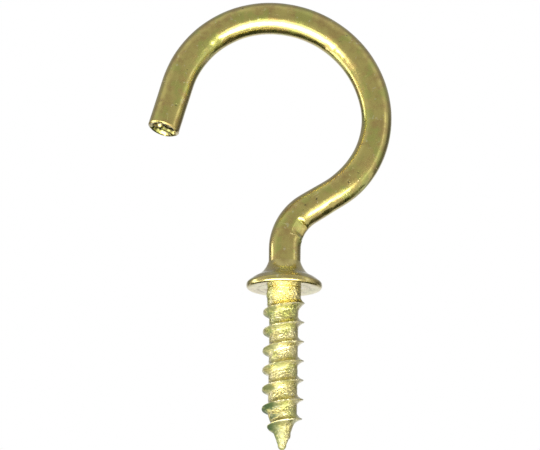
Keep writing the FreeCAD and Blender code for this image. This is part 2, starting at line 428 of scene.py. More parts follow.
def worn_place(place):
    along, left = locate(place)
    front = -place.y
    distance = math.hypot(left, front)
    share = min(distance / WIRE_RADIUS, 1.0)
    side = math.atan2(left, front)
    on_skin = smoothstep(0.9, 1.0, share)

    squeeze = sum(loss * bump_at(along, spot * MM, spread * MM) for spot, spread, loss in THIN_SPOTS)
    left *= 1.0 - squeeze
    sunk = 0.0
    for dent in DENTS:
        if abs(along - dent[0] * MM) <= 3 * dent[2] * MM:
            sunk += oval_mark(along, side, dent)
    sunk += pinched_flat(along, side)
    for crease in CREASES:
        sunk -= oval_mark(along, side, crease)
    sunk += chatter_depth(place, along, side)
    wander = SKIN_WANDER * (noise.noise(place / WANDER_SIZE) - 1.0)
    scale = 1.0 - on_skin * (sunk - wander) / WIRE_RADIUS
    left *= scale
    front *= scale

    slide = -front * math.tan(SHEAR_SLANT) * smoothstep(wire_length - SHEAR_FADE, wire_length, along)
    if along > wire_length - 0.5 * RING_STEP:
        slide += torn_face(left, front, share)
        slide += BURR_HEIGHT * bump_at(side, BURR_ROUND, 0.35) * smoothstep(0.75, 0.95, share)
    middle, along_way, left_way = route_point(min(along, wire_length))
    return middle + left_way * left + along_way * slide + Vector((0, -front, 0))


def wear_wire(obj):
    for vert in obj.data.vertices:
        vert.co = worn_place(vert.co.copy())
    obj.data.update()


wear_wire(wire)
print("wire worn; thinnest share left:", 1 - max(loss for _, _, loss in THIN_SPOTS))

# %% [markdown]
# ## The screw
# A thread is one short profile, a ridge and half a valley on each side, wound round an axis while it
# climbs one pitch a turn. Blender's Screw modifier does just that. Because the profile is exactly one
# pitch tall, the end of each turn meets the start of the next, and merging the doubles gives one
# continuous skin. We draw the profile as by hand: a plane merged to a single point, then extruded from
# point to point.

# %% Wind the thread
PITCH = 1.69 * MM
CORE_RADIUS = 1.245 * MM
CREST_RADIUS = 1.785 * MM
SCREW_LENGTH = 14.1 * MM
CREST_ABOVE_TIP = 1.03 * MM
THREAD_SIDES = 112
THREAD_TURNS = 12
HALF_CREST = 0.05 * MM
FLANK_SPREAD = 0.52 * MM
FLANK_POINTS = 8
VALLEY_POINTS = 5


def ridge_profile():
    """Points (radius, height) of one pitch, crest in the middle, flanks hollow like a rolled thread's."""
    rising = []
    for step in range(VALLEY_POINTS):
        rising.append((CORE_RADIUS, -PITCH / 2 + (PITCH / 2 - FLANK_SPREAD) * step / VALLEY_POINTS))
    for step in range(FLANK_POINTS + 1):
        share = step / FLANK_POINTS
        height = -FLANK_SPREAD + (FLANK_SPREAD - HALF_CREST) * share
        rising.append((CORE_RADIUS + (CREST_RADIUS - CORE_RADIUS) * share ** 2.1, height))
    falling = [(radius, -height) for radius, height in reversed(rising)]
    return rising + falling


def draw_profile(name, points):
    """A line of points in the XZ plane, drawn by extruding from one to the next."""
    deselect_all()
    bpy.ops.mesh.primitive_plane_add(size=MM, location=(0, 0, 0))
    obj = bpy.context.object
    obj.name = name
    edit(obj)
    select_everything()
    bpy.ops.mesh.select_mode(type="VERT")
    bpy.ops.mesh.merge(type="CENTER")
    select_everything()
    bpy.ops.transform.translate(value=(points[0][0], 0, points[0][1]))
    for (radius, height), (next_radius, next_height) in zip(points, points[1:]):
        step = (next_radius - radius, 0, next_height - height)
        bpy.ops.mesh.extrude_vertices_move(TRANSFORM_OT_translate={"value": step})
    return leave_edit()


def cut_level(obj, height, keep_above, fill):
    edit(obj)
    select_everything()
    bpy.ops.mesh.bisect(
        plane_co=(0, 0, height), plane_no=(0, 0, 1), use_fill=fill,
        clear_inner=keep_above, clear_outer=not keep_above, threshold=0.0001 * MM,
    )
    leave_edit()


def wind_thread():
    first_crest = -SCREW_LENGTH + CREST_ABOVE_TIP - 2 * PITCH
    points = [(radius, first_crest + height) for radius, height in ridge_profile()]
    rod = draw_profile("screw", points)
    winding = rod.modifiers.new("winding", "SCREW")
    winding.axis = "Z"
    winding.angle = 2 * math.pi
    winding.screw_offset = PITCH
    winding.iterations = THREAD_TURNS
    winding.steps = winding.render_steps = THREAD_SIDES
    apply_modifier(rod, winding)
    tidy_shell(rod, merge_distance=0.001 * MM)
    cut_level(rod, -SCREW_LENGTH, keep_above=True, fill=False)
    cut_level(rod, -0.03 * MM, keep_above=False, fill=False)
    return rod


rod = wind_thread()
print("screw:", len(rod.data.vertices), "points")

# %% [markdown]
# ## Neck, point and rolled grain
# The wound rod has the same section all the way. The real one swells to a neck under the collar, its
# ridge fades in below the collar and out again at the point, and the core draws down to a blunt tip. We
# write the core's radius and the ridge's height as two curves down the screw, and rescale every point to
# them: the rolled thread keeps its shape and only its size changes. Rolling also leaves the skin grainy,
# like orange peel, which a little noise gives.

# %% Shape the screw
NECK_RADIUS = WIRE_RADIUS + 0.075 * MM
NECK_LENGTH = 1.4 * MM
NECK_TAPER = 0.6 * MM
RUNOUT_LENGTH = 1.3 * MM
TIP_TAPER = 3.0 * MM
TIP_RADIUS = 0.36 * MM
TIP_ROUND = 0.42 * MM
RIDGE_TIP_FADE = 2.45 * MM
GRAIN_SIZE = 0.17 * MM
GRAIN_HEIGHT = 0.026 * MM
ROLL_LUMP_SIZE = 0.55 * MM
ROLL_LUMP_HEIGHT = 0.030 * MM
LUMP_SHIFT = Vector((7, 3, 1))
SKIN_FADE = 0.3 * MM
RIDGE_TIP_START = 0.35 * MM
TIP_CREST, TIP_CREST_GAIN = 0.55, 0.45
GRAIN_LOST_ON_CREST = 0.6
LUMPS_IN_VALLEY, LUMPS_GAINED_ON_CREST = 0.4, 0.6


def core_radius(height):
    above_tip = height + SCREW_LENGTH
    if above_tip < TIP_ROUND:
        rounding = 1.0 - (1.0 - max(above_tip, 0.0) / TIP_ROUND) ** 2
        return TIP_RADIUS * math.sqrt(rounding)
    if above_tip < TIP_TAPER:
        share = (above_tip - TIP_ROUND) / (TIP_TAPER - TIP_ROUND)
        return TIP_RADIUS + (CORE_RADIUS - TIP_RADIUS) * share
    return CORE_RADIUS + (NECK_RADIUS - CORE_RADIUS) * smoothstep(
        -NECK_LENGTH - NECK_TAPER, -NECK_LENGTH, height
    )


def ridge_share(height):
    """Share of the ridge's full height: it fades in under the collar and dies out at the point."""
    top = smoothstep(0.0, RUNOUT_LENGTH, -height)
    bottom = smoothstep(RIDGE_TIP_START, RIDGE_TIP_FADE, height + SCREW_LENGTH)
    return top * bottom


def rolled_place(place):
    radius = math.hypot(place.x, place.y)
    out = Vector((place.x, place.y, 0)) / radius
    share = max(radius - CORE_RADIUS, 0.0) / (CREST_RADIUS - CORE_RADIUS)
    core = core_radius(place.z)
    crest = CREST_RADIUS - core
    if place.z + SCREW_LENGTH < TIP_TAPER:
        crest = (CREST_RADIUS - CORE_RADIUS) * (TIP_CREST + TIP_CREST_GAIN * ridge_share(place.z))
    rolled = core + crest * share * ridge_share(place.z)
    fade = smoothstep(0.0, SKIN_FADE, -place.z)
    grain = GRAIN_HEIGHT * noise.noise(place / GRAIN_SIZE) * (1.0 - GRAIN_LOST_ON_CREST * share)
    lumps = ROLL_LUMP_HEIGHT * noise.noise(place / ROLL_LUMP_SIZE + LUMP_SHIFT)
    lumps *= LUMPS_IN_VALLEY + LUMPS_GAINED_ON_CREST * share
    rolled += (grain + lumps) * fade
    return out * min(rolled, CREST_RADIUS) + Vector((0, 0, place.z))


def mark_ridge(obj):
    """Stores how far up the ridge each point is, for the plating to follow."""
    shares = obj.data.attributes.new("ridge_share", "FLOAT", "POINT")
    for vert in obj.data.vertices:
        radius = math.hypot(vert.co.x, vert.co.y)
        share = (radius - CORE_RADIUS) / (CREST_RADIUS - CORE_RADIUS)
        shares.data[vert.index].value = min(max(share, 0.0), 1.0)


def shape_screw(obj):
    mark_ridge(obj)
    for vert in obj.data.vertices:
        vert.co = rolled_place(vert.co.copy())
    obj.data.update()
    select_points(obj, lambda vert: vert.is_boundary and vert.co.z < -SCREW_LENGTH / 2)
    bpy.ops.mesh.merge(type="CENTER")
    leave_edit()


shape_screw(rod)
print("screw shaped; lowest point at", round(min(v.co.z for v in rod.data.vertices) / MM, 2), "mm")

# %% [markdown]
# ## One piece of metal
# Hook and screw are the same wire, so they become one closed mesh. We join the two objects and bridge the
# two open rings that are left, inside the collar where nobody sees the seam.

# %% Join hook and screw
def join_wire(hook, screw):
    deselect_all()
    screw.select_set(True)
    hook.select_set(True)
    bpy.context.view_layer.objects.active = hook
    bpy.ops.object.join()
    edit(hook)
    bpy.ops.mesh.select_mode(type="EDGE")
    bpy.ops.mesh.select_all(action="DESELECT")
    bpy.ops.mesh.select_non_manifold()
    bpy.ops.mesh.bridge_edge_loops()
    leave_edit()
    tidy_shell(hook)


def open_edges(obj):
    mesh = bmesh.new()
    mesh.from_mesh(obj.data)
    count = sum(1 for edge in mesh.edges if not edge.is_manifold)
    mesh.free()
    return count


join_wire(wire, rod)
print("hook wire:", len(wire.data.polygons), "faces,", open_edges(wire), "open edges")

# %% [markdown]
# ## The collar
# The collar looks turned but is pressed: a cone squeezed on the wire, a kink, and a domed flange
# with a rounded rim and a flat underside. A round part is a half section spun once round the axis, so we
# draw its outline by extruding points and spin it. The rounded corners are points on small arcs.

# %% Spin the collar
FLANGE_RADIUS = 3.265 * MM
RIM_THICKNESS = 0.62 * MM
DOME_RISE = 0.55 * MM
CONE_FOOT = 2.25 * MM
COLLAR_HEIGHT = 2.35 * MM
COLLAR_LIP = 0.02 * MM
SINK_RADIUS = NECK_RADIUS + 0.14 * MM
SINK_DEPTH = 0.06 * MM
COLLAR_SIDES = 160
DISH_SIZE, DISH_HEIGHT = 1.3 * MM, 0.012 * MM


def arc_points(centre, radius, first, last, count):
    points = []
    for step in range(count + 1):
        angle = math.radians(first + (last - first) * step / count)
        points.append((centre[0] + radius * math.cos(angle), centre[1] + radius * math.sin(angle)))
    return points


def sagging_line(start, finish, sag, count):
    """Points on a shallow curve that sags to the left of the straight line, or right if minus."""
    points = []
    across = (finish[0] - start[0], finish[1] - start[1])
    length = math.hypot(*across)
    left = (-across[1] / length, across[0] / length)
    for step in range(count + 1):
        share = step / count
        off = 4 * sag * share * (1 - share)
        points.append((start[0] + across[0] * share + left[0] * off,
                       start[1] + across[1] * share + left[1] * off))
    return points


def collar_outline():
    bottom_round, top_round = 0.24 * MM, 0.30 * MM
    bore = WIRE_RADIUS
    outline = [(bore, SINK_DEPTH), (NECK_RADIUS, SINK_DEPTH), (SINK_RADIUS, 0.0)]
    flat_width = FLANGE_RADIUS - bottom_round - SINK_RADIUS
    outline += [(SINK_RADIUS + flat_width * n / 6, 0.0) for n in range(1, 6)]
    outline += arc_points((FLANGE_RADIUS - bottom_round, bottom_round), bottom_round, -90, 0, 4)
    outline += arc_points((FLANGE_RADIUS - top_round, RIM_THICKNESS - top_round * 0.9), top_round, 0, 62, 8)
    shoulder = outline[-1]
    outline += sagging_line(shoulder, (CONE_FOOT, RIM_THICKNESS + DOME_RISE), -0.05 * MM, 8)[1:]
    top = (bore + COLLAR_LIP, COLLAR_HEIGHT)
    outline += sagging_line((CONE_FOOT, RIM_THICKNESS + DOME_RISE), top, 0.12 * MM, 10)[1:]
    outline += [(bore, COLLAR_HEIGHT)]
    outline += [(bore, COLLAR_HEIGHT + (SINK_DEPTH - COLLAR_HEIGHT) * n / 6) for n in range(1, 6)]
    return outline


def spin_collar():
    outline = collar_outline()
    collar = draw_profile("shoulder_collar_finished", outline + [outline[0]])
    edit(collar)
    select_everything()
    bpy.ops.mesh.remove_doubles(threshold=0.0005 * MM)
    select_everything()
    bpy.ops.mesh.spin(steps=COLLAR_SIDES, angle=2 * math.pi, center=(0, 0, 0), axis=(0, 0, 1))
    leave_edit()
    tidy_shell(collar)
    for vert in collar.data.vertices:
        outer = smoothstep(1.6 * MM, 2.4 * MM, math.hypot(vert.co.x, vert.co.y))
        dish = noise.noise(vert.co / DISH_SIZE) * DISH_HEIGHT
        vert.co.z += dish * outer if vert.co.z > 0.2 * MM else 0.0
    collar.data.update()
    return collar


collar = spin_collar()
print("collar:", len(collar.data.polygons), "faces,", open_edges(collar), "open edges")

# %% [markdown]
# ## Smooth where it is round, sharp where it turns
# Bent wire shades smoothly, but the collar's kink and the cut end's rim are real edges. Smoothing by
# angle keeps an edge sharp wherever two faces meet at more than that angle.

# %% Smooth shading
SHARP_ANGLE = math.radians(38)

for piece in (wire, collar):
    activate(piece)
    bpy.ops.object.shade_smooth_by_angle(angle=SHARP_ANGLE)
deselect_all()
print("edges sharper than", round(math.degrees(SHARP_ANGLE)), "degrees stay sharp")

# %% [markdown]
# ## Straightened coordinates
# Drawing marks and scratches follow the wire round its bends. So each point of the wire also stores where
# it would lie if the wire were straight again: how far along, and where in the round section. A texture
# that reads this attribute runs along the wire by itself. The screw stores which of its faces look down
# as well, because that is where the plating bath left its stains.

# %% Store straightened coordinates
def store_way(obj):
    """Every attribute is made before any is fetched: a new one moves the others in memory."""
    names = ("way", "under", "torn")
    for name in names:
        obj.data.attributes.new(name, "FLOAT_VECTOR" if name == "way" else "FLOAT", "POINT")
    way, under, torn = (obj.data.attributes[name] for name in names)
    for vert in obj.data.vertices:
        place = vert.co
        if place.z < 0.2 * MM and math.hypot(place.x, place.y) < 2 * MM:
            way.data[vert.index].vector = (place.z, place.x, -place.y)
            under.data[vert.index].value = max(-vert.normal.z, 0.0)
        else:
            along, left = locate(place)
            way.data[vert.index].vector = (along, left, -place.y)
            share = math.hypot(left, place.y) / WIRE_RADIUS
            # The torn mask picks the deepest gouges of the cut end, which the wire's material paints dark as
            # painted shade.
            if share < 0.9 and along > wire_length - 1.2 * MM:
                depth = -torn_face(left, -place.y, share) / TEAR_DEPTH
                torn.data[vert.index].value = smoothstep(0.60, 1.05, depth)


def store_round(obj):
    """For the collar: distance from the axis, and height."""
    turned = obj.data.attributes.new("turned", "FLOAT_VECTOR", "POINT")
    for vert in obj.data.vertices:
        turned.data[vert.index].vector = (math.hypot(vert.co.x, vert.co.y), 0, vert.co.z)


store_way(wire)
store_round(collar)
print("stored:", [a.name for a in wire.data.attributes if a.name in ("way", "under", "torn", "ridge_share")])

# %% [markdown]
# ## Shared effects
# Both pieces carry the same thin brass plating, so its effects are node groups, built once and placed in
# each material with its own numbers. A group takes coordinates and amounts and puts out colours or masks.
# The shader itself stays in the material. These helpers only save typing: each adds one node and wires
# it.

# %% Node helpers
def new_group(name, inputs, outputs):
    group = bpy.data.node_groups.new(name, "ShaderNodeTree")
    for label, kind, value in inputs:
        socket = group.interface.new_socket(name=label, in_out="INPUT", socket_type="NodeSocket" + kind)
        socket.default_value = value
    for label, kind in outputs:
        group.interface.new_socket(name=label, in_out="OUTPUT", socket_type="NodeSocket" + kind)
    return group, group.nodes.new("NodeGroupInput").outputs, group.nodes.new("NodeGroupOutput").inputs


def wire_up(tree, value, socket):
    if isinstance(value, (int, float, tuple)):
        socket.default_value = value
    else:
        tree.links.new(value, socket)


def noise_of(tree, vector, scale, detail=3.0, roughness=0.55):
    node = tree.nodes.new("ShaderNodeTexNoise")
    wire_up(tree, vector, node.inputs["Vector"])
    wire_up(tree, scale, node.inputs["Scale"])
    node.inputs["Detail"].default_value = detail
    node.inputs["Roughness"].default_value = roughness
    return node.outputs["Fac"]


def ramp(tree, value, low, high, to_low=0.0, to_high=1.0):
    node = tree.nodes.new("ShaderNodeMapRange")
    node.interpolation_type = "SMOOTHSTEP"
    sockets = ("Value", "From Min", "From Max", "To Min", "To Max")
    for name, number in zip(sockets, (value, low, high, to_low, to_high)):
        wire_up(tree, number, node.inputs[name])
    return node.outputs["Result"]


def calc(tree, operation, first, second):
    node = tree.nodes.new("ShaderNodeMath")
    node.operation = operation
    wire_up(tree, first, node.inputs[0])
    wire_up(tree, second, node.inputs[1])
    return node.outputs["Value"]


def times(tree, first, second):
    return calc(tree, "MULTIPLY", first, second)


def axes_of(tree, vector):
    node = tree.nodes.new("ShaderNodeSeparateXYZ")
    tree.links.new(vector, node.inputs["Vector"])
    return node.outputs


def weighed(tree, operation, first, second, amount):
    """first, plus or minus an amount of second."""
    return calc(tree, operation, first, times(tree, second, amount))


def stretched(tree, vector, factors):
    node = tree.nodes.new("ShaderNodeVectorMath")
    node.operation = "MULTIPLY"
    wire_up(tree, vector, node.inputs[0])
    node.inputs[1].default_value = factors
    return node.outputs["Vector"]


def mixed(tree, factor, first, second):
    node = tree.nodes.new("ShaderNodeMix")
    node.data_type = "RGBA"
    wire_up(tree, factor, node.inputs[0])
    wire_up(tree, first, node.inputs[6])
    wire_up(tree, second, node.inputs[7])
    return node.outputs[2]


def attribute(tree, name):
    node = tree.nodes.new("ShaderNodeAttribute")
    node.attribute_name = name
    return node


def placed(tree, group, **values):
    node = tree.nodes.new("ShaderNodeGroup")
    node.node_tree = group
    for label, value in values.items():
        wire_up(tree, value, node.inputs[label.replace("_", " ")])
    return node.outputs


# %% [markdown]
# ## Mottled plating
# Old cheap plating is never one colour. Broad patches are a little redder or greener, small flecks are
# duller, and here and there a bright crumb or a dark pit shows. The group mixes three noises of falling
# size.

# %% Group: mottled plating
CLEAN = (0.63, 0.535, 0.15, 1.0)
DULL = (0.46, 0.335, 0.10, 1.0)
GREENED = (0.47, 0.50, 0.11, 1.0)
BRIGHT = (0.86, 0.79, 0.52, 1.0)
# This dark colour is used for real pits, and also as painted shade in the torn end's gouges and the collar's
# kink.
PIT_AND_SHADE = (0.10, 0.085, 0.035, 1.0)
BROAD_SCALE, SMALL_SCALE, HUE_SCALE = 700.0, 2100.0, 620.0
CRUMB_SCALE, PIT_SCALE = 2600.0, 2500.0


def make_mottle():
    group, given, out = new_group(
        "mottled plating",
        [("Vector", "Vector", (0, 0, 0)), ("Clean", "Color", CLEAN),
         ("Dull", "Color", DULL), ("Amount", "Float", 1.0),
         ("Crumbs", "Float", 0.5)],
        [("Color", "Color"), ("Dullness", "Float"), ("Pits", "Float")],
    )
    here = given["Vector"]
    broad = noise_of(group, here, BROAD_SCALE, detail=4.0, roughness=0.6)
    small = noise_of(group, here, SMALL_SCALE, detail=5.0, roughness=0.65)
    hue = noise_of(group, stretched(group, here, (1.0, -1.0, 1.0)), HUE_SCALE, detail=3.0)
    crumbs = noise_of(group, here, CRUMB_SCALE, detail=1.0)
    pits = noise_of(group, stretched(group, here, (-1.0, 1.0, 1.0)), PIT_SCALE, detail=2.0)
    dullness = times(group, ramp(group, broad, 0.38, 0.60), ramp(group, small, 0.25, 0.60))
    dullness = times(group, dullness, given["Amount"])
    colour = mixed(group, dullness, given["Clean"], given["Dull"])
    green = times(group, ramp(group, hue, 0.48, 0.62), given["Amount"])
    colour = mixed(group, times(group, green, 0.7), colour, GREENED)
    crumb_mask = times(group, ramp(group, crumbs, 0.69, 0.73), given["Crumbs"])
    colour = mixed(group, crumb_mask, colour, BRIGHT)
    pit_mask = ramp(group, pits, 0.70, 0.77)
    colour = mixed(group, times(group, pit_mask, 0.75), colour, PIT_AND_SHADE)
    group.links.new(colour, out["Color"])
    group.links.new(dullness, out["Dullness"])
    group.links.new(pit_mask, out["Pits"])
    return group


mottle = make_mottle()

# %% [markdown]
# ## Skin relief and scuffs
# "Skin" is a height: coarse waves, fine grain and a few pits, for a Bump node. "Scuffs" is a mask of
# short scratches, made by stretching a noise so far that its blobs become lines, and keeping only the
# highest ones.

# %% Groups: skin relief and scuffs
WAVE_SCALE, GRAIN_SCALE = 900.0, 5200.0
SCRATCH_ALONG = (700.0, 9000.0, 9000.0)
SCRATCH_ACROSS = (9000.0, 1300.0, 1300.0)
SCUFFED_AREA_SCALE = 260.0


def make_skin():
    group, given, out = new_group(
        "metal skin",
        [("Vector", "Vector", (0, 0, 0)), ("Wave", "Float", 0.5),
         ("Grain", "Float", 0.3), ("Size", "Float", 1.0)],
        [("Height", "Float")],
    )
    here = given["Vector"]
    wave_scale = calc(group, "DIVIDE", WAVE_SCALE, given["Size"])
    grain_scale = calc(group, "DIVIDE", GRAIN_SCALE, given["Size"])
    wave = noise_of(group, here, wave_scale, detail=2.0)
    grain = noise_of(group, here, grain_scale, detail=3.0, roughness=0.6)
    total = calc(group, "ADD", times(group, wave, given["Wave"]),
                 times(group, grain, given["Grain"]))
    group.links.new(total, out["Height"])
    return group


def make_scuffs():
    group, given, out = new_group(
        "scuffs",
        [("Vector", "Vector", (0, 0, 0)), ("Density", "Float", 0.5)],
        [("Mask", "Float")],
    )
    here = given["Vector"]
    lines = noise_of(group, stretched(group, here, SCRATCH_ALONG), 1.0, detail=2.0)
    crossing = noise_of(group, stretched(group, here, SCRATCH_ACROSS), 1.0, detail=1.0)
    where = noise_of(group, here, SCUFFED_AREA_SCALE, detail=2.0)
    cut = weighed(group, "SUBTRACT", 0.74, given["Density"], 0.12)
    fine = ramp(group, lines, cut, calc(group, "ADD", cut, 0.05))
    cross = ramp(group, crossing, calc(group, "ADD", cut, 0.02), calc(group, "ADD", cut, 0.07))
    both = calc(group, "MAXIMUM", fine, cross)
    group.links.new(times(group, both, ramp(group, where, 0.40, 0.60)), out["Mask"])
    return group


skin = make_skin()
scuffs = make_scuffs()
print("groups:", [group.name for group in (mottle, skin, scuffs)])

# %% [markdown]
# ## Three finishes
# The plating is metal all through, so Metallic is 1 and the base colour is the colour of its reflections.
# What tells the surfaces apart is the roughness and the relief: the drawn wire is nearly a mirror with
# lines along it, the rolled thread is grainy and brighter, and the collar has faint rings from its tool.

# %% Material helpers
METAL_UNDER_LACQUER = (
    ("Metallic", 1.0), ("IOR", 1.45), ("Coat Weight", 1.0), ("Coat Roughness", 0.12), ("Coat IOR", 1.45),
)


def new_material(name):
    material = bpy.data.materials.new(name)
    material.use_nodes = True
    tree = material.node_tree
    shader = tree.nodes["Principled BSDF"]
    for name, value in METAL_UNDER_LACQUER:
        shader.inputs[name].default_value = value
    return material, tree, shader.inputs


def relief(tree, height, distance, normal_socket):
    bump = tree.nodes.new("ShaderNodeBump")
    bump.inputs["Distance"].default_value = distance
    bump.inputs["Strength"].default_value = 1.0
    tree.links.new(height, bump.inputs["Height"])
    tree.links.new(bump.outputs["Normal"], normal_socket)


def object_coordinates(tree):
    return tree.nodes.new("ShaderNodeTexCoord").outputs["Object"]


# %% [markdown]
# ## The drawn wire
# Wire is pulled through a die, which leaves fine lines along it. On the straightened coordinates a
# stretched noise follows the bends. The torn end is painted darker in its deepest gouges, as painted shade.

# %% Drawn wire
DRAWN_LINES = (260.0, 5200.0, 5200.0)


def make_drawn_wire():
    material, tree, surface = new_material("plated_drawn_wire")
    here = object_coordinates(tree)
    way = attribute(tree, "way").outputs["Vector"]
    plating = placed(tree, mottle, Vector=here, Amount=1.0, Crumbs=0.35)
    marks = placed(tree, scuffs, Vector=way, Density=0.45)["Mask"]
    lines = noise_of(tree, stretched(tree, way, DRAWN_LINES), 1.0, detail=3.0)
    colour = mixed(tree, times(tree, marks, 0.25), plating["Color"], BRIGHT)
    # Painted shade: the deepest gouges of the cut end are painted nearly black.
    torn = attribute(tree, "torn").outputs["Fac"]
    colour = mixed(tree, times(tree, torn, 0.9), colour, PIT_AND_SHADE)
    tree.links.new(colour, surface["Base Color"])
    rough = weighed(tree, "ADD", 0.17, plating["Dullness"], 0.13)
    rough = weighed(tree, "ADD", rough, marks, 0.22)
    rough = calc(tree, "ADD", rough, ramp(tree, lines, 0.35, 0.70, 0.0, 0.05))
    tree.links.new(rough, surface["Roughness"])
    height = placed(tree, skin, Vector=here, Wave=0.9, Grain=0.10, Size=1.1)["Height"]
    height = weighed(tree, "ADD", height, lines, 0.10)
    height = weighed(tree, "SUBTRACT", height, marks, 0.10)
    height = weighed(tree, "SUBTRACT", height, plating["Pits"], 0.25)
    relief(tree, height, 0.030 * MM, surface["Normal"])
    return material


drawn_wire = make_drawn_wire()
print(drawn_wire.name, "made")

# %% [markdown]
# ## The rolled thread
# Rolling squeezes metal up out of the wire and leaves its skin grainy, so the relief is coarse. The
# crests are painted lighter in patches, as a painted highlight. The dark green stains lie on the
# undersides of the ridges, mostly on the left and low down, probably where plating solution dried.

# %% Rolled thread
STAIN = (0.030, 0.055, 0.012, 1.0)
GOLD = (0.90, 0.80, 0.37, 1.0)
GOLD_DULL = (0.46, 0.39, 0.11, 1.0)
STAIN_EDGE = 1.2 * MM
STAIN_HEIGHTS = (-8.0 * MM, -10.5 * MM)
BLOTCH_SCALE = 620.0


def make_rolled_thread():
    material, tree, surface = new_material("plated_rolled_thread")
    here = object_coordinates(tree)
    plating = placed(tree, mottle, Vector=here, Clean=GOLD, Dull=GOLD_DULL, Amount=0.9, Crumbs=0.8)
    under = attribute(tree, "under").outputs["Fac"]
    ridge = attribute(tree, "ridge_share").outputs["Fac"]
    blotch = noise_of(tree, here, BLOTCH_SCALE, detail=4.0, roughness=0.65)
    splash = ramp(tree, blotch, 0.40, 0.52)
    axes = axes_of(tree, here)
    left_side = ramp(tree, axes["X"], STAIN_EDGE, -STAIN_EDGE, 0.15, 1.0)
    low_down = ramp(tree, axes["Z"], *STAIN_HEIGHTS, 0.80, 1.0)
    stain = times(tree, times(tree, splash, left_side), low_down)
    stain = times(tree, stain, ramp(tree, under, 0.10, 0.35))
    # Painted highlight: the ridge crests are painted lighter in patches.
    crest_highlight = times(tree, ramp(tree, ridge, 0.75, 1.0), ramp(tree, blotch, 0.62, 0.40))
    colour = mixed(tree, times(tree, crest_highlight, 0.6), plating["Color"], BRIGHT)
    colour = mixed(tree, stain, colour, STAIN)
    tree.links.new(colour, surface["Base Color"])
    rough = weighed(tree, "ADD", 0.21, plating["Dullness"], 0.12)
    rough = weighed(tree, "ADD", rough, stain, 0.30)
    tree.links.new(rough, surface["Roughness"])
    clear = weighed(tree, "SUBTRACT", 1.0, stain, 0.8)
    tree.links.new(clear, surface["Metallic"])
    tree.links.new(clear, surface["Coat Weight"])
    height = placed(tree, skin, Vector=here, Wave=0.8, Grain=1.0, Size=0.9)["Height"]
    height = weighed(tree, "SUBTRACT", height, plating["Pits"], 0.4)
    relief(tree, height, 0.110 * MM, surface["Normal"])
    return material


rolled_thread = make_rolled_thread()
print(rolled_thread.name, "made")

# %% [markdown]
# ## The pressed collar
# The collar's coordinates are its distance from the axis and its height, so a stretched noise makes
# rings. Patches at the kink are painted darker, as painted shade in the crease.

# %% Pressed collar
PALE = (0.63, 0.535, 0.175, 1.0)
TOOL_RINGS = (7500.0, 1.0, 3500.0)


def make_pressed_collar():
    material, tree, surface = new_material("plated_pressed_collar")
    here = object_coordinates(tree)
    turned = attribute(tree, "turned").outputs["Vector"]
    plating = placed(tree, mottle, Vector=here, Clean=PALE, Amount=0.7, Crumbs=0.6)
    rings = noise_of(tree, stretched(tree, turned, TOOL_RINGS), 1.0, detail=2.0)
    marks = placed(tree, scuffs, Vector=here, Density=0.7)["Mask"]
    axes = axes_of(tree, turned)
    kink_apart = calc(tree, "ABSOLUTE", calc(tree, "SUBTRACT", axes["X"], CONE_FOOT), 0.0)
    kink = ramp(tree, kink_apart, 0.16 * MM, 0.03 * MM)
    blotch = noise_of(tree, here, 900.0, detail=3.0)
    # Painted shade: patches near the kink are painted darker and a little rougher, standing in for the shade
    # in the crease.
    kink_shade = times(tree, kink, ramp(tree, blotch, 0.35, 0.62))
    colour = mixed(tree, times(tree, marks, 0.5), plating["Color"], BRIGHT)
    colour = mixed(tree, times(tree, kink_shade, 0.35), colour, PIT_AND_SHADE)
    tree.links.new(colour, surface["Base Color"])
    rough = weighed(tree, "ADD", 0.20, plating["Dullness"], 0.14)
    rough = weighed(tree, "ADD", rough, kink_shade, 0.25)
    tree.links.new(rough, surface["Roughness"])
    height = placed(tree, skin, Vector=here, Wave=0.5, Grain=0.15, Size=0.9)["Height"]
    height = weighed(tree, "ADD", height, rings, 0.16)
    height = weighed(tree, "SUBTRACT", height, marks, 0.12)
    relief(tree, height, 0.030 * MM, surface["Normal"])
    return material


pressed_collar = make_pressed_collar()
print(pressed_collar.name, "made")

# %% [markdown]
# ## Finishes on the pieces
# The hook wire carries two materials, and each face says which one it uses. Each finished piece then
# rides on the frame's body and stands in for its plain CAD node.

# %% Put the finishes on
def paint_wire(obj):
    obj.data.materials.append(drawn_wire)
    obj.data.materials.append(rolled_thread)
    for face in obj.data.polygons:
        face.material_index = 1 if face.center.z < 0.1 * MM else 0


paint_wire(wire)
collar.data.materials.append(pressed_collar)
for piece, node, slot in ((wire, "hook_wire", "plated_wire"), (collar, "shoulder_collar", "plated_collar")):
    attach(piece, "root")
    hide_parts(node)
print("materials:", [m.name for m in bpy.data.materials if m.name.startswith("plated")])

# %% [markdown]
# ## Floor
# Polished metal shows the room more than itself, so the room is half of the material. The floor is a
# large sheet of matt paper far below the hook, out of the camera's view, that fills the lower half of
# the reflections. Anything that only dresses the set is staged, so that it isn't taken for a piece.

# %% Floor
FLOOR_LEVEL = -800 * MM
FLOOR_COLOUR = (0.86, 0.86, 0.85, 1.0)


def matt_sheet(name, paint, place, size, colour, roughness, specular):
    """A plane with a plain matt material, not yet staged."""
    deselect_all()
    bpy.ops.mesh.primitive_plane_add(size=size, location=place)
    sheet = bpy.context.object
    sheet.name = name
    material = bpy.data.materials.new(paint)
    material.use_nodes = True
    surface = material.node_tree.nodes["Principled BSDF"].inputs
    surface["Base Color"].default_value = colour
    surface["Roughness"].default_value = roughness
    surface["Specular IOR Level"].default_value = specular
    sheet.data.materials.append(material)
    return sheet


floor = matt_sheet("floor", "floor_paper", (0, 0, FLOOR_LEVEL), 4.0, FLOOR_COLOUR, 0.8, 0.5)
floor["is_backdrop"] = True
print("floor at", round(FLOOR_LEVEL / MM), "mm")

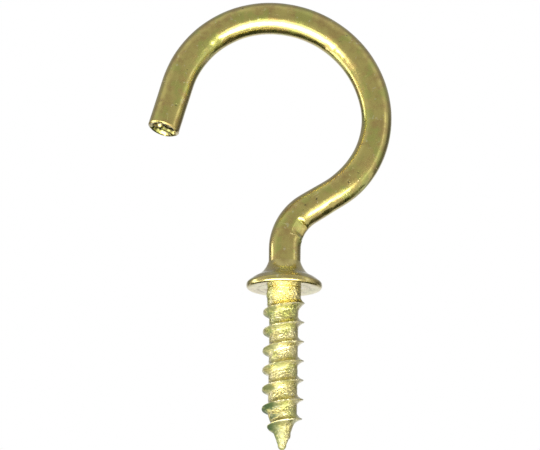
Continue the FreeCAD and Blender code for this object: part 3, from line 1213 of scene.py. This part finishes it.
# %% [markdown]
# ## A black card
# Studios put black cards round shiny things, because a dark reflection draws the edges that make bright
# metal stand off a white ground. This one stands below and behind, tipped towards the hook, and gives
# the crown its dark inner edge. It shows only in the metal.

# %% Black card
CARD_PLACE = Vector((0, 80, -125)) * MM
CARD_SIZE = (420 * MM, 140 * MM)
CARD_COLOUR = (0.02, 0.025, 0.012, 1.0)

card = matt_sheet("black_card", "black_card", CARD_PLACE, 1.0, CARD_COLOUR, 0.9, 0.0)
card.scale = (*CARD_SIZE, 1.0)
card.rotation_euler.x = math.atan2(CARD_PLACE.y, -CARD_PLACE.z)
card.visible_camera = card.visible_diffuse = card.visible_shadow = False
card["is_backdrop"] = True
print("card of", [round(side / MM) for side in CARD_SIZE], "mm")

# %% [markdown]
# ## The room
# The camera sees plain white behind the hook, and diffuse light is nearly that white. Only mirror rays
# see a room: mid grey on the camera's side, paler at the sides, a dark band behind them and white
# straight behind the hook. Looking up, the dark band is lifted to a grey. The list below holds that room
# as stops from front (0) to back (1).

# %% World
ROOM_STOPS = (
    (0.00, 0.49), (0.22, 0.49), (0.38, 0.75), (0.56, 0.60), (0.68, 0.08), (0.90, 0.10), (0.97, 1.00),
)
DIFFUSE_LIGHT = 0.9
GREY_ABOVE = 0.36


def light_world():
    world = bpy.context.scene.world or bpy.data.worlds.new("studio")
    bpy.context.scene.world = world
    world.use_nodes = True
    tree = world.node_tree
    tree.nodes.clear()
    out = tree.nodes.new("ShaderNodeOutputWorld")
    shade = tree.nodes.new("ShaderNodeBackground")
    tree.links.new(shade.outputs["Background"], out.inputs["Surface"])
    axes = axes_of(tree, tree.nodes.new("ShaderNodeTexCoord").outputs["Generated"])
    front_to_back = times(tree, calc(tree, "ADD", axes["Y"], 1.0), 0.5)
    stops = tree.nodes.new("ShaderNodeValToRGB")
    tree.links.new(front_to_back, stops.inputs["Fac"])
    stops.color_ramp.interpolation = "B_SPLINE"
    elements = stops.color_ramp.elements
    while len(elements) < len(ROOM_STOPS):
        elements.new(0.5)
    for element, (place, grey) in zip(elements, ROOM_STOPS):
        element.position = place
        element.color = (grey, grey, grey, 1.0)
    rays = tree.nodes.new("ShaderNodeLightPath").outputs
    plain = calc(tree, "MAXIMUM", rays["Is Camera Ray"], rays["Is Transmission Ray"])
    above = ramp(tree, axes["Z"], 0.0, 0.45, 0.0, GREY_ABOVE)
    seen_in_metal = calc(tree, "MAXIMUM", stops.outputs["Color"], above)
    room = mixed(tree, rays["Is Glossy Ray"], (DIFFUSE_LIGHT,) * 3 + (1.0,), seen_in_metal)
    tree.links.new(mixed(tree, plain, room, (1.0, 1.0, 1.0, 1.0)), shade.inputs["Color"])
    return world


light_world()
print("room:", len(ROOM_STOPS), "stops from front to back")

# %% [markdown]
# ## Lamps
# Each bright band on the wire is one soft lamp's mirror image. A broad sheet low in front, with a
# narrower and much brighter core, runs along the underside of the crown and the lower bend. A strip at
# the left and a weak one at the right put a lighter line down either side. A lamp's size sets how wide
# its band is. We aim each lamp by its -Z axis at the middle of the hook.

# %% Soft lamps
LAMP_AIM = Vector((0, 0, 8)) * MM
LAMPS = (
    ("low_sheet", (-40, -122, -122), (300, 190), 1.6),
    ("low_core", (-20, -116, -120), (340, 74), 6.5),
    ("left_strip", (-185, 42, -40), (60, 220), 2.3),
    ("right_strip", (190, -60, 0), (40, 160), 0.5),
)


def hang_lamp(name, place, size, brightness):
    """brightness is the lamp's own surface brightness: 1 is as bright as a white sheet."""
    data = bpy.data.lights.new(name, "AREA")
    data.shape = "RECTANGLE"
    data.size = size[0] * MM
    data.size_y = size[1] * MM
    data.energy = 4.0 * brightness * data.size * data.size_y
    lamp = bpy.data.objects.new(name, data)
    bpy.context.collection.objects.link(lamp)
    place = Vector(place) * MM
    facing = (LAMP_AIM - place).to_track_quat("-Z", "Y").to_matrix().to_4x4()
    lamp.matrix_world = Matrix.Translation(place) @ facing
    lamp.visible_camera = False
    return lamp


for entry in LAMPS:
    hang_lamp(*entry)
bpy.context.scene.view_settings.view_transform = "Standard"
print("lamps:", len(LAMPS))

# %% [markdown]
# ## Print both boxes
# The CAD model's box and the finished pieces' box are printed, one under the other. The finished pieces
# must stay inside the CAD model's box.

# %% Write the sizes and finish
made_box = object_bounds()
for label, box in (("cad", cad_box), ("made", made_box)):
    print(label, [round(v / MM, 2) for v in box[0]], [round(v / MM, 2) for v in box[1]])
